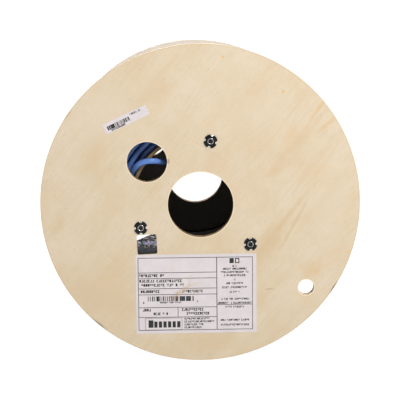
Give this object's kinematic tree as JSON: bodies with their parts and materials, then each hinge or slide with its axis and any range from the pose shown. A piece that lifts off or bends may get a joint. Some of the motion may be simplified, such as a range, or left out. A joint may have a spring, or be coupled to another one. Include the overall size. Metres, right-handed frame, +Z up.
{
  "type": "cable reel",
  "caption": "Flanged plywood reel wound with network cable; central arbor bore, drive holes and start holes in both flanges.",
  "frame": {"origin": "on the reel's axis, half way between the two flanges", "axes": "+Y along the axis from the labelled front flange to the rear one, +Z up with the reel standing on its rims, +X to the right seen from the front"},
  "size_m": [0.3999, 0.3208, 0.4],
  "materials": {
    "plywood": "sanded softwood plywood, matte",
    "drum_board": "spiral wound brown board",
    "black_zinc": "black zinc",
    "bolt_steel": "yellowed zinc plate",
    "label_paper": "matte label paper, printed black",
    "seal_film": "metallised seal film",
    "cable_jacket": "blue cable jacket, satin",
    "tape": "crepe tape",
    "copper": "bright copper cores"
  },
  "bodies": {
    "root": {"front_flange": "plywood", "rear_flange": "plywood", "drum_tube": "drum_board", "shipping_label": "label_paper", "serial_label": "label_paper", "security_seal": "seal_film", "cable_winding": "cable_jacket", "cable_outer_end": "cable_jacket", "cable_tail": "cable_jacket", "end_tape": "tape", "inner_end_cores": "copper", "outer_end_cores": "copper", "tee_nut_1": "black_zinc", "tie_bolt_1": "bolt_steel", "bolt_washer_1": "bolt_steel", "tee_nut_2": "black_zinc", "tie_bolt_2": "bolt_steel", "bolt_washer_2": "bolt_steel", "tee_nut_3": "black_zinc", "tie_bolt_3": "bolt_steel", "bolt_washer_3": "bolt_steel"}
  },
  "joints": []
}
